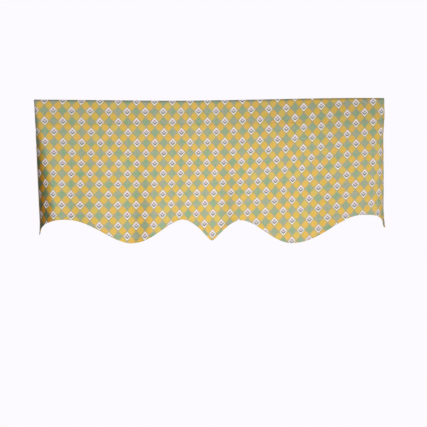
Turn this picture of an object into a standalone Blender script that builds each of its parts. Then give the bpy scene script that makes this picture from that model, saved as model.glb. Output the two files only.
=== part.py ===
"""Window valance: one shaped panel of printed cotton with a return at each end.

Metres, +Z up. +X runs to the viewer's right, the front faces -Y and the wall is towards +Y. The origin
is the middle of the top edge, on the front of the cloth. A point of the flat cloth is named by how far
it lies across, from the middle, and how far down, from the top edge.
"""

import functools
import math
from typing import NamedTuple

import bpy
import numpy as np

# Driving sizes
FRONT_WIDTH = 1.270
RETURN_DEPTH = 0.090
LONGEST_DROP = 0.528

# The cloth, and the edges that are turned to the back and sewn
CLOTH_THICKNESS = 0.0020
TURNING_THICKNESS = 0.0010
HEADING_TURNING = 0.091
HEM_TURNING = 0.016
TURNING_STEP = 0.004

# The heading hangs higher at its right end
HEADING_RISE = 0.0175
RISE_STARTS = -0.220
RISE_LENGTH = 0.860

# The point at the middle of the hem
POINT_DROP = 0.508
POINT_HOLLOW = 1.7
POINT_ROUNDING = 0.009

# How the mesh is divided
SHARP_ANGLE_DEG = 50.0
FINE_STEP = 0.001
FRONT_STEP = 0.0150
POINT_STEP = 0.0075
POINT_REACH = 0.045
END_STEP = 0.0090
END_STARTS = 0.570
HEADING_ROWS = 2
MIDDLE_ROWS = 8
LONGEST_ACROSS = 0.820
SETTLING_STEPS = 3


class HemStation(NamedTuple):
    """A high or low place of the hem on one side of the middle.

    The hem runs to the next station in half a wave. A lean under 1 makes it steeper at its start, and one
    over 1 steeper at its end. The last station is the lowest place of the return.
    """

    reach: float
    drop: float
    lean: float


class Fold(NamedTuple):
    """A soft vertical fold of the front. Its depth is towards the wall, and it fades out above starts."""

    across: float
    left_reach: float
    right_reach: float
    depth: float
    starts: float


class End(NamedTuple):
    """How one end of the front bends round into its return at the longest drop.

    The bend starts nearer the middle than at the top edge by drawn_in, and the return runs to the wall
    at the flare to the side, which comes in nearer the hem where its growth is higher. The heading
    stands out to the side by heading_out.
    """

    radius: float
    drawn_in: float
    flare_deg: float
    flare_growth: float
    heading_out: float


LEFT_HEM = (
    HemStation(reach=0.1085, drop=0.4300, lean=0.85),
    HemStation(reach=0.2930, drop=0.5135, lean=0.90),
    HemStation(reach=0.5250, drop=0.4285, lean=1.13),
    HemStation(reach=0.7460, drop=0.4990, lean=1.00),
)
RIGHT_HEM = (
    HemStation(reach=0.1037, drop=0.4380, lean=0.93),
    HemStation(reach=0.3000, drop=0.5275, lean=1.12),
    HemStation(reach=0.5565, drop=0.4315, lean=1.78),
    HemStation(reach=0.7070, drop=0.4775, lean=1.00),
)

FOLDS = (
    Fold(across=-0.520, left_reach=0.060, right_reach=0.110, depth=0.004, starts=0.08),
    Fold(across=-0.213, left_reach=0.085, right_reach=0.080, depth=-0.009, starts=0.12),
    Fold(across=0.024, left_reach=0.100, right_reach=0.075, depth=0.020, starts=0.05),
    Fold(across=0.105, left_reach=0.060, right_reach=0.090, depth=-0.005, starts=0.15),
    Fold(across=0.375, left_reach=0.140, right_reach=0.090, depth=0.015, starts=0.04),
    Fold(across=0.490, left_reach=0.060, right_reach=0.075, depth=-0.005, starts=0.10),
)
FOLD_GROWTH = 1.3

TOP_BEND_RADIUS = 0.006
LEFT_END = End(radius=0.0910, drawn_in=0.0955, flare_deg=34.0, flare_growth=7.0, heading_out=0.0)
RIGHT_END = End(radius=0.0910, drawn_in=0.0598, flare_deg=37.0, flare_growth=2.85, heading_out=0.006)
END_GROWTH = 0.85
HEADING_OUT_ENDS = 0.150
HEADING_OUT_FADES = 0.100


def smooth(value):
    """Returns 0 below 0, 1 above 1 and a smooth step between them."""
    held = np.clip(value, 0.0, 1.0)
    return held * held * (3.0 - 2.0 * held)


def heading_height(across):
    """Returns how high the top edge is at a place across."""
    middle = smooth(-RISE_STARTS / RISE_LENGTH)
    return HEADING_RISE * (smooth((across - RISE_STARTS) / RISE_LENGTH) - middle)


def point_drop(reach, first):
    """Returns the hem's drop between the middle's rounded point and the first station."""
    soft_reach = math.hypot(reach, POINT_ROUNDING)
    width = math.hypot(first.reach, POINT_ROUNDING)
    at_middle = (1.0 - POINT_ROUNDING / width) ** POINT_HOLLOW
    height = (POINT_DROP - first.drop) / at_middle
    return first.drop + height * (1.0 - soft_reach / width) ** POINT_HOLLOW


def hem_drop(across):
    """Returns how far the hem lies below the top edge at a place across."""
    stations = LEFT_HEM if across < 0.0 else RIGHT_HEM
    reach = abs(across)
    if reach < stations[0].reach:
        return point_drop(reach, stations[0])
    for near, far in zip(stations, stations[1:]):
        if reach <= far.reach:
            break
    share = min(1.0, (reach - near.reach) / (far.reach - near.reach)) ** near.lean
    return near.drop + (far.drop - near.drop) * (0.5 - 0.5 * math.cos(math.pi * share))


def fold_growth(fold, down):
    """Returns the share of its full depth that a fold has at a height."""
    share = (down - fold.starts) / (LONGEST_DROP - fold.starts)
    return min(1.0, max(0.0, share)) ** FOLD_GROWTH


def fold_slope(across, down):
    """Returns how fast the front falls back towards the wall as it runs across."""
    slope = np.zeros_like(across)
    for fold in FOLDS:
        offset = across - fold.across
        reach = np.where(offset < 0.0, fold.left_reach, fold.right_reach)
        share = np.clip(offset / reach, -1.0, 1.0)
        steepest = 0.5 * math.pi * fold.depth * fold_growth(fold, down) / reach
        slope -= steepest * np.sin(math.pi * share)
    return slope


def fold_depth_at_middle(down):
    """Returns how far the folds set the middle of the front back towards the wall."""
    depth = 0.0
    for fold in FOLDS:
        reach = fold.left_reach if fold.across > 0.0 else fold.right_reach
        share = min(1.0, abs(fold.across) / reach)
        depth += fold.depth * fold_growth(fold, down) * (0.5 + 0.5 * math.cos(math.pi * share))
    return depth


@functools.lru_cache(maxsize=None)
def plan_line(side, down):
    """Follows the cloth at one height from the middle round one end, without stretching it.

    Returns the lengths along it, its X and its Y, and the length at which it meets the wall.
    """
    end = LEFT_END if side < 0 else RIGHT_END
    share = min(1.0, down / LONGEST_DROP)
    grown = share**END_GROWTH
    bend_at = FRONT_WIDTH / 2.0 - TOP_BEND_RADIUS - end.drawn_in * grown
    bend_at += end.heading_out * float(smooth((HEADING_OUT_ENDS - down) / HEADING_OUT_FADES))
    radius = TOP_BEND_RADIUS + (end.radius - TOP_BEND_RADIUS) * grown
    whole_turn = math.radians(90.0 - end.flare_deg * share**end.flare_growth)

    length = np.arange(0.0, LONGEST_ACROSS, FINE_STEP)
    middle = length + 0.5 * FINE_STEP
    swing = np.arcsin(side * fold_slope(side * middle, down))
    bent = np.clip((middle - bend_at) / (radius * whole_turn), 0.0, 1.0)
    heading = swing * (1.0 - bent) + whole_turn * bent
    outward = np.concatenate([[0.0], np.cumsum(np.cos(heading) * FINE_STEP)[:-1]])
    back = np.concatenate([[0.0], np.cumsum(np.sin(heading) * FINE_STEP)[:-1]])
    back += fold_depth_at_middle(down)
    past_bend = length > bend_at
    wall_at = float(np.interp(RETURN_DEPTH, back[past_bend], length[past_bend]))
    return length, side * outward, back, wall_at


def cloth_point(column, down):
    """Returns the point of the cloth's front face in a column of the mesh, and its place across."""
    side = -1 if column < 0.0 else 1
    length, x_line, y_line, wall_at = plan_line(side, down)
    reach = abs(column)
    if reach > END_STARTS:
        full = plan_line(side, 0.0)[3]
        reach = END_STARTS + (reach - END_STARTS) * (wall_at - END_STARTS) / (full - END_STARTS)
    x = float(np.interp(reach, length, x_line))
    y = float(np.interp(reach, length, y_line))
    across = side * reach
    return (x, y, float(heading_height(across)) - down), across


def mesh_columns():
    """Returns the places across of the mesh's columns: closer at the point and round each end."""
    places = {0.0}
    for side in (-1, 1):
        wall_at = plan_line(side, 0.0)[3]
        stretches = (
            (0.0, POINT_REACH, POINT_STEP),
            (POINT_REACH, END_STARTS, FRONT_STEP),
            (END_STARTS, wall_at, END_STEP),
        )
        for start, stop, step in stretches:
            count = max(1, round((stop - start) / step))
            for index in range(1, count + 1):
                places.add(side * (start + (stop - start) * index / count))
    return sorted(places)


def mesh_rows(drop):
    """Returns (how far down, thickness) for each point of a column that is this long."""
    doubled = CLOTH_THICKNESS + TURNING_THICKNESS
    first = HEADING_TURNING + TURNING_STEP
    last = drop - HEM_TURNING - TURNING_STEP
    rows = [(HEADING_TURNING * index / HEADING_ROWS, doubled) for index in range(HEADING_ROWS + 1)]
    for index in range(MIDDLE_ROWS + 1):
        rows.append((first + (last - first) * index / MIDDLE_ROWS, CLOTH_THICKNESS))
    rows += [(drop - HEM_TURNING, doubled), (drop, doubled)]
    return rows


def column_drop(column):
    """Returns the length of a column, whose place across near the hem depends on that length."""
    drop = hem_drop(column)
    for _ in range(SETTLING_STEPS):
        drop = hem_drop(cloth_point(column, drop)[1])
    return drop


def front_face():
    """Returns the points of the cloth's front face, column by column, and the thickness at each."""
    points = []
    thickness = []
    for column in mesh_columns():
        rows = mesh_rows(column_drop(column))
        points.append([cloth_point(column, down)[0] for down, _ in rows])
        thickness.append([thick for _, thick in rows])
    return np.array(points), np.array(thickness)


def back_face(front, thickness):
    """Returns the points that lie behind the front face by the cloth's thickness."""
    inward = np.cross(np.gradient(front, axis=0), np.gradient(front, axis=1))
    inward /= np.linalg.norm(inward, axis=2, keepdims=True)
    return front + inward * thickness[:, :, None]


def closed_faces(column_count, row_count):
    """Returns the faces of a closed sheet whose front points are listed before its back points."""
    number = np.arange(column_count * row_count).reshape(column_count, row_count)
    behind = column_count * row_count
    faces = []
    for column in range(column_count - 1):
        for row in range(row_count - 1):
            left_top, left_low = number[column, row : row + 2].tolist()
            right_top, right_low = number[column + 1, row : row + 2].tolist()
            quad = (left_top, left_low, right_low, right_top)
            faces.append(quad)
            faces.append(tuple(behind + corner for corner in reversed(quad)))
    rim = number[:, 0].tolist()
    rim += number[-1, 1:].tolist()
    rim += number[-2::-1, -1].tolist()
    rim += number[0, -2:0:-1].tolist()
    for start, stop in zip(rim, rim[1:] + rim[:1]):
        faces.append((start, stop, stop + behind, start + behind))
    return faces


def build_valance():
    """Makes the cloth as one closed mesh: its front face, its back face and the rim between them."""
    front, thickness = front_face()
    back = back_face(front, thickness)
    points = np.concatenate([front.reshape(-1, 3), back.reshape(-1, 3)]).tolist()

    mesh = bpy.data.meshes.new("valance")
    mesh.from_pydata(points, [], closed_faces(*thickness.shape))
    mesh.validate()
    mesh.shade_smooth()
    mesh.set_sharp_from_angle(angle=math.radians(SHARP_ANGLE_DEG))
    valance = bpy.data.objects.new("valance", mesh)
    bpy.context.scene.collection.objects.link(valance)
    return valance


def printed_cotton():
    """Makes the cloth's plain stand-in for its gold, green and white print."""
    material = bpy.data.materials.new("printed_cotton")
    material.use_nodes = True
    shader = material.node_tree.nodes["Principled BSDF"]
    shader.inputs["Base Color"].default_value = (0.62, 0.44, 0.14, 1.0)
    shader.inputs["Roughness"].default_value = 0.88
    shader.inputs["Metallic"].default_value = 0.0
    return material


def main():
    """Clears the scene and builds the valance."""
    for leftover in list(bpy.data.objects):
        bpy.data.objects.remove(leftover, do_unlink=True)
    valance = build_valance()
    valance.data.materials.append(printed_cotton())


main()
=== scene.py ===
"""Looks of the window valance: its printed cotton, its sewn heading and hem, the studio and the camera.

Metres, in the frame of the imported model: +X runs to the viewer's right, the front faces -Y, +Z is up and
the origin is the middle of the top edge. A place on the flat cloth is named by how far it lies across,
from the middle, and how far down, from the top edge.
"""

import logging
import math
from dataclasses import dataclass, field
from enum import Enum

import bpy
import numpy as np
from mathutils import Matrix, Vector


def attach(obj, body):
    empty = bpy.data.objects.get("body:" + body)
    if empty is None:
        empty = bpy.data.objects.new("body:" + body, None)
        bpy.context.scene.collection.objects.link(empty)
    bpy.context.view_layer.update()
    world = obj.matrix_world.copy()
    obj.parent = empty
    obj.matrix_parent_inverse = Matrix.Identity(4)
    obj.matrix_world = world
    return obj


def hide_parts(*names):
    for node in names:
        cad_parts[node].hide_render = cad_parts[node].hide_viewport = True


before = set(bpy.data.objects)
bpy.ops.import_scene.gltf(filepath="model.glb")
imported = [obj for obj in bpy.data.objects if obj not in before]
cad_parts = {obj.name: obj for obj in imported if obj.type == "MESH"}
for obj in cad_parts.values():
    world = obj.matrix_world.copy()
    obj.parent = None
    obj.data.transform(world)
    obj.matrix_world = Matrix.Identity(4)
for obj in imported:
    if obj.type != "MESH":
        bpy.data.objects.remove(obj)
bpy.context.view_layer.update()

LOG = logging.getLogger("valance")

Array = np.ndarray
Socket = bpy.types.NodeSocket
Colour = tuple[float, float, float]
Wired = Socket | float


def smooth(value: Array | float) -> Array:
    """Eases from 0 to 1.

    Args:
        value: Any numbers; below 0 gives 0 and above 1 gives 1.

    Returns:
        The eased numbers.
    """
    held = np.clip(value, 0.0, 1.0)
    return held * held * (3.0 - 2.0 * held)


def hump(offset: Array, width: float) -> Array:
    """Returns a bell of height 1 round 0, which is down to a third at the width."""
    return np.exp(-((offset / width) ** 2))


class Side(Enum):
    """The two halves of the panel, by the sign of their places across."""

    LEFT = -1
    RIGHT = 1


class Face(Enum):
    """The two faces of the cloth, by the number of their material slot."""

    PRINTED = 0
    REVERSE = 1


class Seam(Enum):
    """The rows of stitches on the panel."""

    HEADING = "heading"
    HEM = "hem"
    LEFT_EDGE = "left edge"
    RIGHT_EDGE = "right edge"


@dataclass(frozen=True)
class HemStation:
    """A high or low place of the hem on one side of the middle.

    The hem runs to the next station in half a wave. A lean under 1 makes it steeper at its start, and one
    over 1 steeper at its end. The last station is the lowest place of the return.
    """

    reach: float
    drop: float
    lean: float


@dataclass(frozen=True)
class Fold:
    """A soft vertical fold of the front. Its depth is towards the wall, and it fades out above starts."""

    across: float
    left_reach: float
    right_reach: float
    depth: float
    starts: float


@dataclass(frozen=True)
class End:
    """How one end of the front bends round into its return at the longest drop.

    The flare comes in nearer the hem where its growth is higher, and the heading stands out to the side.
    """

    radius: float
    drawn_in: float
    flare_deg: float
    flare_growth: float
    heading_out: float


@dataclass(frozen=True)
class Crease:
    """A small ridge in the cloth, or a trough where its height is below 0.

    A turn of 0 runs straight down and one of 90 runs across. The height is how far it stands out.
    """

    across: float
    down: float
    run: float
    width: float
    height: float
    turn_deg: float


@dataclass(frozen=True)
class PlanTable:
    """The lines of the cloth on one side of the middle, a row for each height, seen from above."""

    outward: Array
    back: Array
    heading: Array
    wall_at: Array
    bend_ends: Array


@dataclass
class HungCloth:
    """The shape in which the cloth hangs: the solid's own rules, with the finer creases laid over them."""

    front_width: float = 1.270
    return_depth: float = 0.090
    longest_drop: float = 0.528
    heading_rise: float = 0.0175
    rise_starts: float = -0.220
    rise_length: float = 0.860
    point_drop: float = 0.508
    point_hollow: float = 1.7
    point_rounding: float = 0.009
    fold_growth: float = 1.3
    top_bend_radius: float = 0.006
    end_growth: float = 0.85
    heading_out_ends: float = 0.150
    heading_out_fades: float = 0.100
    ends_start: float = 0.570
    fine_step: float = 0.001
    level_step: float = 0.010
    longest_across: float = 0.820
    settling_steps: int = 3
    normal_step: float = 0.0015
    still_above: float = 0.030
    hem: dict[Side, tuple[HemStation, ...]] = field(
        default_factory=lambda: {
            Side.LEFT: (
                HemStation(reach=0.1085, drop=0.4300, lean=0.85),
                HemStation(reach=0.2930, drop=0.5135, lean=0.90),
                HemStation(reach=0.5250, drop=0.4285, lean=1.13),
                HemStation(reach=0.7460, drop=0.4990, lean=1.00),
            ),
            Side.RIGHT: (
                HemStation(reach=0.1037, drop=0.4380, lean=0.93),
                HemStation(reach=0.3000, drop=0.5275, lean=1.12),
                HemStation(reach=0.5565, drop=0.4315, lean=1.78),
                HemStation(reach=0.7070, drop=0.4775, lean=1.00),
            ),
        }
    )
    folds: tuple[Fold, ...] = tuple(
        Fold(*row)
        for row in (
            # across, left_reach, right_reach, depth, starts
            (-0.520, 0.060, 0.110, 0.004, 0.08),
            (-0.213, 0.085, 0.080, -0.009, 0.12),
            (0.024, 0.100, 0.075, 0.020, 0.05),
            (0.105, 0.060, 0.090, -0.005, 0.15),
            (0.375, 0.140, 0.090, 0.015, 0.04),
            (0.490, 0.060, 0.075, -0.005, 0.10),
        )
    )
    ends: dict[Side, End] = field(
        default_factory=lambda: {
            # radius, drawn_in, flare_deg, flare_growth, heading_out
            Side.LEFT: End(0.091, 0.0955, 34.0, 7.0, 0.0),
            Side.RIGHT: End(0.091, 0.0598, 37.0, 2.85, 0.006),
        }
    )
    creases: tuple[Crease, ...] = tuple(
        Crease(*row)
        for row in (
            # across, down, run, width, height, turn_deg
            (-0.634, 0.112, 0.060, 0.0060, -0.0022, 62.0),
            (-0.622, 0.165, 0.080, 0.0070, -0.0024, 70.0),
            (-0.612, 0.205, 0.090, 0.0080, -0.0020, 58.0),
            (-0.604, 0.262, 0.100, 0.0085, -0.0030, 66.0),
            (-0.598, 0.306, 0.110, 0.0095, -0.0046, 57.0),
            (-0.612, 0.340, 0.070, 0.0070, 0.0024, 62.0),
            (-0.594, 0.372, 0.100, 0.0090, -0.0044, 50.0),
            (-0.598, 0.412, 0.080, 0.0080, -0.0040, 44.0),
            (-0.563, 0.300, 0.260, 0.0150, 0.0020, -7.0),
            (-0.470, 0.170, 0.190, 0.0140, -0.0009, 5.0),
            (-0.392, 0.260, 0.260, 0.0170, 0.0011, -4.0),
            (-0.325, 0.150, 0.130, 0.0110, -0.0008, 8.0),
            (-0.262, 0.330, 0.250, 0.0180, -0.0012, 3.0),
            (-0.150, 0.200, 0.210, 0.0140, 0.0009, -6.0),
            (-0.082, 0.330, 0.180, 0.0130, 0.0010, 9.0),
            (-0.020, 0.175, 0.150, 0.0120, -0.0009, 4.0),
            (0.034, 0.290, 0.300, 0.0120, -0.0016, 5.0),
            (0.072, 0.345, 0.140, 0.0060, 0.0010, -2.0),
            (0.150, 0.190, 0.200, 0.0150, -0.0008, -5.0),
            (0.215, 0.320, 0.260, 0.0160, 0.0012, 3.0),
            (0.290, 0.200, 0.210, 0.0130, -0.0010, 7.0),
            (0.345, 0.360, 0.200, 0.0150, -0.0012, -5.0),
            (0.420, 0.215, 0.260, 0.0160, 0.0012, 4.0),
            (0.468, 0.330, 0.180, 0.0120, -0.0012, -8.0),
            (0.545, 0.230, 0.230, 0.0140, 0.0012, 3.0),
            (0.618, 0.140, 0.070, 0.0080, -0.0016, -60.0),
            (0.626, 0.215, 0.090, 0.0090, 0.0014, -52.0),
            (0.615, 0.300, 0.090, 0.0080, -0.0016, -64.0),
            (0.606, 0.372, 0.080, 0.0080, -0.0014, -50.0),
        )
    )

    def __post_init__(self) -> None:
        """Works out the lines of the cloth at each height, once for each side."""
        self.levels = np.arange(0.0, self.longest_drop + 2.0 * self.level_step, self.level_step)
        self.lengths = np.arange(0.0, self.longest_across, self.fine_step)
        self.tables = {side: self._plan_table(side) for side in Side}

    def heading_height(self, across: Array) -> Array:
        """Returns how high the top edge is at each place across."""
        middle = smooth(-self.rise_starts / self.rise_length)
        return self.heading_rise * (smooth((across - self.rise_starts) / self.rise_length) - middle)

    def _point_drop(self, reach: Array, first: HemStation) -> Array:
        """Works out the hem's drop between the middle's rounded point and the first station.

        Args:
            reach: The distances from the middle.
            first: The station nearest the middle.

        Returns:
            The drop at each distance.
        """
        soft_reach = np.hypot(reach, self.point_rounding)
        width = math.hypot(first.reach, self.point_rounding)
        at_middle = (1.0 - self.point_rounding / width) ** self.point_hollow
        height = (self.point_drop - first.drop) / at_middle
        share = np.clip(1.0 - soft_reach / width, 0.0, 1.0)
        return first.drop + height * share**self.point_hollow

    def _side_drop(self, reach: Array, stations: tuple[HemStation, ...]) -> Array:
        """Returns the hem's drop along one side.

        Args:
            reach: The distances from the middle.
            stations: That side's high and low places, from the middle outwards.

        Returns:
            The drop at each distance.
        """
        drop = self._point_drop(reach, stations[0])
        for near, far in zip(stations[:-1], stations[1:]):
            share = np.clip((reach - near.reach) / (far.reach - near.reach), 0.0, 1.0) ** near.lean
            wave = near.drop + (far.drop - near.drop) * (0.5 - 0.5 * np.cos(np.pi * share))
            drop = np.where(reach > near.reach, wave, drop)
        return drop

    def hem_drop(self, across: Array) -> Array:
        """Works out how far the hem lies below the top edge.

        Args:
            across: The places across, below 0 on the left.

        Returns:
            The drop at each place.
        """
        reach = np.abs(across)
        left = self._side_drop(reach, self.hem[Side.LEFT])
        right = self._side_drop(reach, self.hem[Side.RIGHT])
        return np.where(across < 0.0, left, right)

    def _growth(self, fold: Fold, down: Array) -> Array:
        """Returns the share of its full depth that a fold has at each height."""
        share = (down - fold.starts) / (self.longest_drop - fold.starts)
        return np.clip(share, 0.0, 1.0) ** self.fold_growth

    def _fold_slope(self, across: Array, down: Array) -> Array:
        """Works out how fast the front falls back towards the wall as it runs across.

        Args:
            across: The places across.
            down: How far down they lie.

        Returns:
            The slope at each place, above 0 where the front falls back.
        """
        slope = np.zeros(np.broadcast_shapes(across.shape, down.shape))
        for fold in self.folds:
            offset = across - fold.across
            reach = np.where(offset < 0.0, fold.left_reach, fold.right_reach)
            share = np.clip(offset / reach, -1.0, 1.0)
            steepest = 0.5 * np.pi * fold.depth * self._growth(fold, down) / reach
            slope -= steepest * np.sin(np.pi * share)
        return slope

    def _depth_at_middle(self, down: Array) -> Array:
        """Works out how far the folds set the middle of the front back towards the wall.

        Args:
            down: How far down each height lies.

        Returns:
            The depth at each height.
        """
        depth = np.zeros_like(down)
        for fold in self.folds:
            reach = fold.left_reach if fold.across > 0.0 else fold.right_reach
            share = min(1.0, abs(fold.across) / reach)
            depth += fold.depth * self._growth(fold, down) * (0.5 + 0.5 * math.cos(math.pi * share))
        return depth

    def _plan_table(self, side: Side) -> PlanTable:
        """Follows the cloth from the middle round one end at each height, without stretching it.

        Args:
            side: The side to follow.

        Returns:
            The lines of the cloth on that side.
        """
        end = self.ends[side]
        down = self.levels[:, None]
        share = np.minimum(1.0, down / self.longest_drop)
        grown = share**self.end_growth
        bend_at = self.front_width / 2.0 - self.top_bend_radius - end.drawn_in * grown
        bend_at += end.heading_out * smooth((self.heading_out_ends - down) / self.heading_out_fades)
        radius = self.top_bend_radius + (end.radius - self.top_bend_radius) * grown
        whole_turn = np.radians(90.0 - end.flare_deg * share**end.flare_growth)

        middle = self.lengths[None, :] + 0.5 * self.fine_step
        swing = np.arcsin(side.value * self._fold_slope(side.value * middle, down))
        bent = np.clip((middle - bend_at) / (radius * whole_turn), 0.0, 1.0)
        heading = swing * (1.0 - bent) + whole_turn * bent
        outward = self._running_sum(np.cos(heading))
        back = self._running_sum(np.sin(heading)) + self._depth_at_middle(down)

        wall_at = np.empty(len(self.levels))
        for level, edge in enumerate(bend_at[:, 0]):
            past = self.lengths > edge
            wall_at[level] = np.interp(self.return_depth, back[level, past], self.lengths[past])
        bend_ends = (bend_at + radius * whole_turn)[:, 0]
        return PlanTable(outward, back, heading, wall_at, bend_ends)

    def _running_sum(self, steps: Array) -> Array:
        """Returns the sum of all the steps before each place, along each row."""
        summed = np.cumsum(steps * self.fine_step, axis=1)
        return np.concatenate([np.zeros((len(steps), 1)), summed[:, :-1]], axis=1)

    def wall_column(self, side: Side) -> float:
        """Returns the column that lies along the wall on one side."""
        return side.value * float(self.tables[side].wall_at[0])

    def _across(self, side: Side, column: Array, down: Array) -> Array:
        """Works out how far from the middle a column lies, drawn in so that the last one meets the wall.

        Args:
            side: The side on which it lies.
            column: The columns.
            down: How far down each point lies.

        Returns:
            The distance of each point.
        """
        table = self.tables[side]
        reach = np.abs(column)
        wall = np.interp(down, self.levels, table.wall_at)
        squeeze = (wall - self.ends_start) / (table.wall_at[0] - self.ends_start)
        return np.where(reach > self.ends_start, self.ends_start + (reach - self.ends_start) * squeeze, reach)

    def _look_up(self, values: Array, down: Array, reach: Array) -> Array:
        """Reads a table between its rows and columns.

        Args:
            values: The table, by level and by length.
            down: The heights to read at.
            reach: The lengths from the middle to read at.

        Returns:
            The value at each place.
        """
        row = np.clip(down / self.level_step, 0.0, len(self.levels) - 1.001)
        place = np.clip(reach / self.fine_step, 0.0, len(self.lengths) - 1.001)
        low_row = row.astype(int)
        low_place = place.astype(int)
        row_share = row - low_row
        place_share = place - low_place
        upper = values[low_row, low_place] * (1.0 - place_share)
        upper += values[low_row, low_place + 1] * place_share
        lower = values[low_row + 1, low_place] * (1.0 - place_share)
        lower += values[low_row + 1, low_place + 1] * place_share
        return upper * (1.0 - row_share) + lower * row_share

    def across(self, column: Array, down: Array) -> Array:
        """Works out the place across at which a column lies at each height.

        Args:
            column: The columns, as distances across at the top edge.
            down: How far down each point lies.

        Returns:
            The places across, below 0 on the left.
        """
        left = -self._across(Side.LEFT, column, down)
        right = self._across(Side.RIGHT, column, down)
        return np.where(column < 0.0, left, right)

    def _relief(self, across: Array, down: Array) -> Array:
        """Works out how far the creases stand out.

        Args:
            across: The places across.
            down: How far down they lie.

        Returns:
            The height at each place, below 0 in a trough.
        """
        relief = np.zeros_like(across)
        for crease in self.creases:
            turn = math.radians(crease.turn_deg)
            aside = across - crease.across
            below = down - crease.down
            along = aside * math.sin(turn) + below * math.cos(turn)
            off = aside * math.cos(turn) - below * math.sin(turn)
            fade = smooth(1.0 - np.abs(along) / (0.5 * crease.run))
            relief += crease.height * fade * hump(off, crease.width)
        return relief * smooth(down / self.still_above)

    def points(self, column: Array, down: Array, raised: Array | float = 0.0) -> Array:
        """Places the cloth's front face.

        Args:
            column: The columns, as distances across at the top edge.
            down: How far down each point lies on its column.
            raised: How far each point stands out besides the creases, such as at a seam.

        Returns:
            The points, with a last axis for X, Y and Z.
        """
        column, down, raised = np.broadcast_arrays(column, down, raised)
        across = self.across(column, down)
        placed = np.empty(column.shape + (3,))
        for side in Side:
            mine = (column < 0.0) == (side is Side.LEFT)
            table = self.tables[side]
            height = down[mine]
            reach = np.abs(across[mine])
            heading = self._look_up(table.heading, height, reach)
            proud = raised[mine] + self._relief(across[mine], height)
            x = self._look_up(table.outward, height, reach) + proud * np.sin(heading)
            y = self._look_up(table.back, height, reach) - proud * np.cos(heading)
            z = self.heading_height(across[mine]) - height
            placed[mine] = np.stack([side.value * x, y, z], axis=-1)
        return placed

    def turned(self, side: Side, column: Array, down: Array) -> tuple[Array, Array]:
        """Follows the cloth round one end.

        Args:
            side: The end.
            column: The columns.
            down: How far down each point lies.

        Returns:
            How far it has turned, from 0 on the front to 1 at a right angle, and how far past the bend it is.
        """
        column, down = np.broadcast_arrays(column, down)
        table = self.tables[side]
        reach = np.abs(self.across(column, down))
        share = np.clip(self._look_up(table.heading, down, reach) / (0.5 * np.pi), 0.0, 1.0)
        past = reach - np.interp(down, self.levels, table.bend_ends)
        return np.where(side.value * column > 0.0, share, 0.0), past

    def inward(self, column: Array, down: Array, raised: Array | float = 0.0) -> Array:
        """Works out the directions from the front face towards the reverse.

        Args:
            column: The columns.
            down: How far down each point lies.
            raised: How far each point stands out besides the creases.

        Returns:
            A direction of length 1 at each point.
        """
        here = self.points(column, down, raised)
        beside = self.points(column + self.normal_step, down, raised)
        below = self.points(column, down + self.normal_step, raised)
        crossed = np.cross(beside - here, below - here)
        return crossed / np.linalg.norm(crossed, axis=-1, keepdims=True)

    def column_drop(self, column: Array) -> Array:
        """Works out the length of each column, whose place across near the hem depends on that length.

        Args:
            column: The columns.

        Returns:
            The lengths, from the top edge to the hem.
        """
        drop = self.hem_drop(column)
        for _ in range(self.settling_steps):
            drop = self.hem_drop(self.across(column, drop))
        return drop


@dataclass(frozen=True)
class Pull:
    """A place where hanging has drawn the print aside and down, by a third as much at its reach."""

    across: float
    down: float
    reach_across: float
    reach_down: float
    aside: float
    below: float


@dataclass(frozen=True)
class PrintPlace:
    """Where the print lies on the cut cloth, which was not laid quite square to it.

    The columns of the print lean to the left as they go down and wander a little. Its rows climb to the
    right, from a place left of the middle. Places on the print are metres on the bolt of cloth.
    """

    lean: float = 0.00696
    lean_across: float = 0.01264
    lean_growth: float = 0.03886
    column_wander: float = 0.00347
    column_wander_from: float = -0.45746
    column_wander_length: float = 0.82995
    climb_from: float = -0.25
    climb_square: float = 0.00273
    climb_cube: float = 0.03606
    row_wander: float = 0.00142
    row_wander_from: float = -0.49829
    row_wander_length: float = 0.59052
    pulls: tuple[Pull, ...] = tuple(
        Pull(*row)
        for row in (
            # across, down, reach_across, reach_down, aside, below
            (-0.609, 0.440, 0.045, 0.294, 0.0070, -0.0029),
            (-0.472, 0.361, 0.185, 0.153, -0.0085, 0.0006),
            (-0.370, 0.479, 0.350, 0.272, 0.0100, 0.0002),
            (-0.341, 0.040, 0.350, 0.045, -0.0045, -0.0010),
            (0.031, 0.432, 0.342, 0.231, -0.0100, -0.0041),
            (0.217, 0.043, 0.143, 0.346, 0.0017, -0.0038),
            (0.250, 0.190, 0.350, 0.350, 0.0070, 0.0071),
            (0.329, 0.521, 0.282, 0.108, 0.0097, 0.0002),
            (0.353, 0.320, 0.107, 0.121, -0.0043, -0.0013),
            (0.393, 0.025, 0.348, 0.312, -0.0057, -0.0055),
            (0.548, 0.282, 0.045, 0.109, 0.0032, -0.0010),
        )
    )

    def on_bolt(self, across: Array, down: Array) -> Array:
        """Finds places of the cut cloth on the bolt.

        Args:
            across: The places across the cut cloth.
            down: The places down it, below 0 behind the top edge.

        Returns:
            The places on the bolt, with a last axis for across and down.
        """
        shift = self.lean * down + self.lean_across * across * down + self.lean_growth * down * np.abs(down)
        turn = 2.0 * np.pi * (across - self.column_wander_from) / self.column_wander_length
        past = np.clip(across - self.climb_from, 0.0, None)
        climb = self.climb_square * past**2 + self.climb_cube * past**3
        swing = 2.0 * np.pi * (across - self.row_wander_from) / self.row_wander_length
        bolt_across = across + shift - self.column_wander * np.sin(turn)
        bolt_down = down + climb - self.row_wander * np.sin(swing)
        for pull in self.pulls:
            near = hump(across - pull.across, pull.reach_across) * hump(down - pull.down, pull.reach_down)
            bolt_across = bolt_across - pull.aside * near
            bolt_down = bolt_down - pull.below * near
        return np.stack([bolt_across, bolt_down], axis=-1)


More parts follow.
